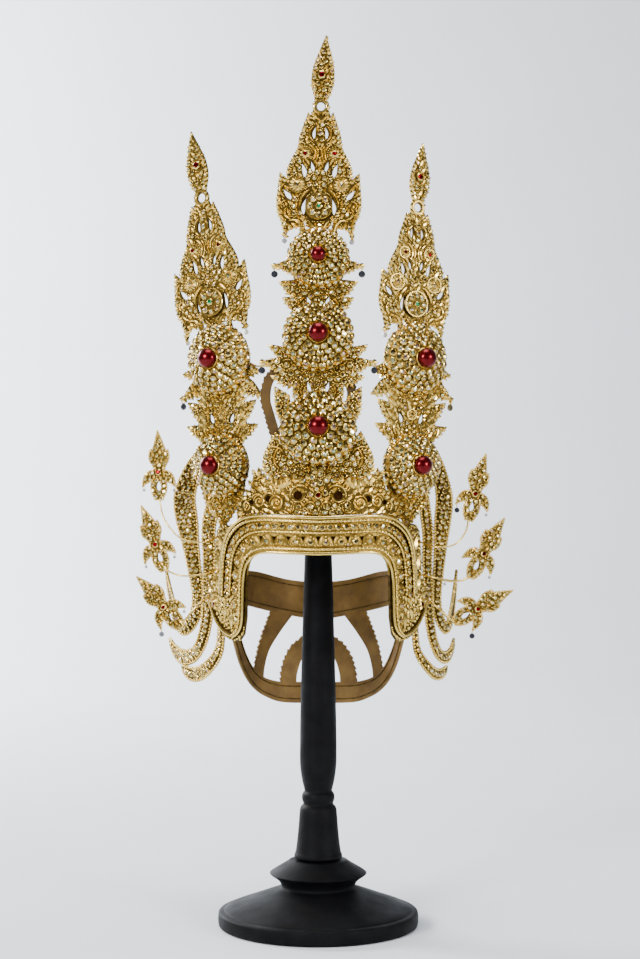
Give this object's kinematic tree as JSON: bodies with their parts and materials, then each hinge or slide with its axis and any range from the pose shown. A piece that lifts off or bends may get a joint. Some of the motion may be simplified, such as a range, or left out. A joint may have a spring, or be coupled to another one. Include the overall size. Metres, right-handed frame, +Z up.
{
  "type": "dance headdress on stand",
  "caption": "Three-spired gilded dance headdress with stone-set bosses, lappets, side ribbons and wire sprigs, on a black turned wooden stand.",
  "frame": {"origin": "centre of the stand's underside, on the floor", "axes": "+Z up the stand, the headdress faces -Y, +X to the right of someone looking at its face"},
  "size_m": [0.332, 0.2063, 0.7926],
  "materials": {
    "gilded_hide": "gilded relief set with small foil-backed stones",
    "hide_back": "brown-gold paint",
    "gilt_wire": "gilt",
    "red_glass": "polished cabochon over foil",
    "crystal": "faceted, foil-backed",
    "black_wood": "satin black paint, lightly scuffed"
  },
  "bodies": {
    "root": {"forehead_band": "gilded_hide", "front_crest": "gilded_hide", "centre_plate": "gilded_hide", "centre_crest": "gilded_hide", "centre_boss_low": "gilded_hide", "centre_boss_mid": "gilded_hide", "centre_boss_top": "gilded_hide", "left_plate": "gilded_hide", "left_crest": "gilded_hide", "left_boss_low": "gilded_hide", "left_boss_top": "gilded_hide", "left_ribbon_back": "gilded_hide", "left_ribbon_middle": "gilded_hide", "left_ribbon_front": "gilded_hide", "right_plate": "gilded_hide", "right_crest": "gilded_hide", "right_boss_low": "gilded_hide", "right_boss_top": "gilded_hide", "right_ribbon_back": "gilded_hide", "right_ribbon_middle": "gilded_hide", "right_ribbon_front": "gilded_hide", "back_panel": "hide_back", "back_brace": "hide_back", "left_sprig_high": "gilt_wire", "left_sprig_mid": "gilt_wire", "left_sprig_low": "gilt_wire", "right_sprig_high": "gilt_wire", "right_sprig_mid": "gilt_wire", "right_sprig_low": "gilt_wire", "left_tie_wire": "gilt_wire", "right_tie_wire": "gilt_wire", "centre_gem_low": "red_glass", "centre_gem_mid": "red_glass", "centre_gem_top": "red_glass", "left_gem_low": "red_glass", "left_gem_top": "red_glass", "right_gem_low": "red_glass", "right_gem_top": "red_glass", "centre_drop_1": "crystal", "centre_drop_2": "crystal", "centre_drop_3": "crystal", "centre_drop_4": "crystal", "left_drop": "crystal", "right_drop": "crystal", "stand_foot": "black_wood", "stand_column": "black_wood", "stand_head": "black_wood"}
  },
  "joints": []
}
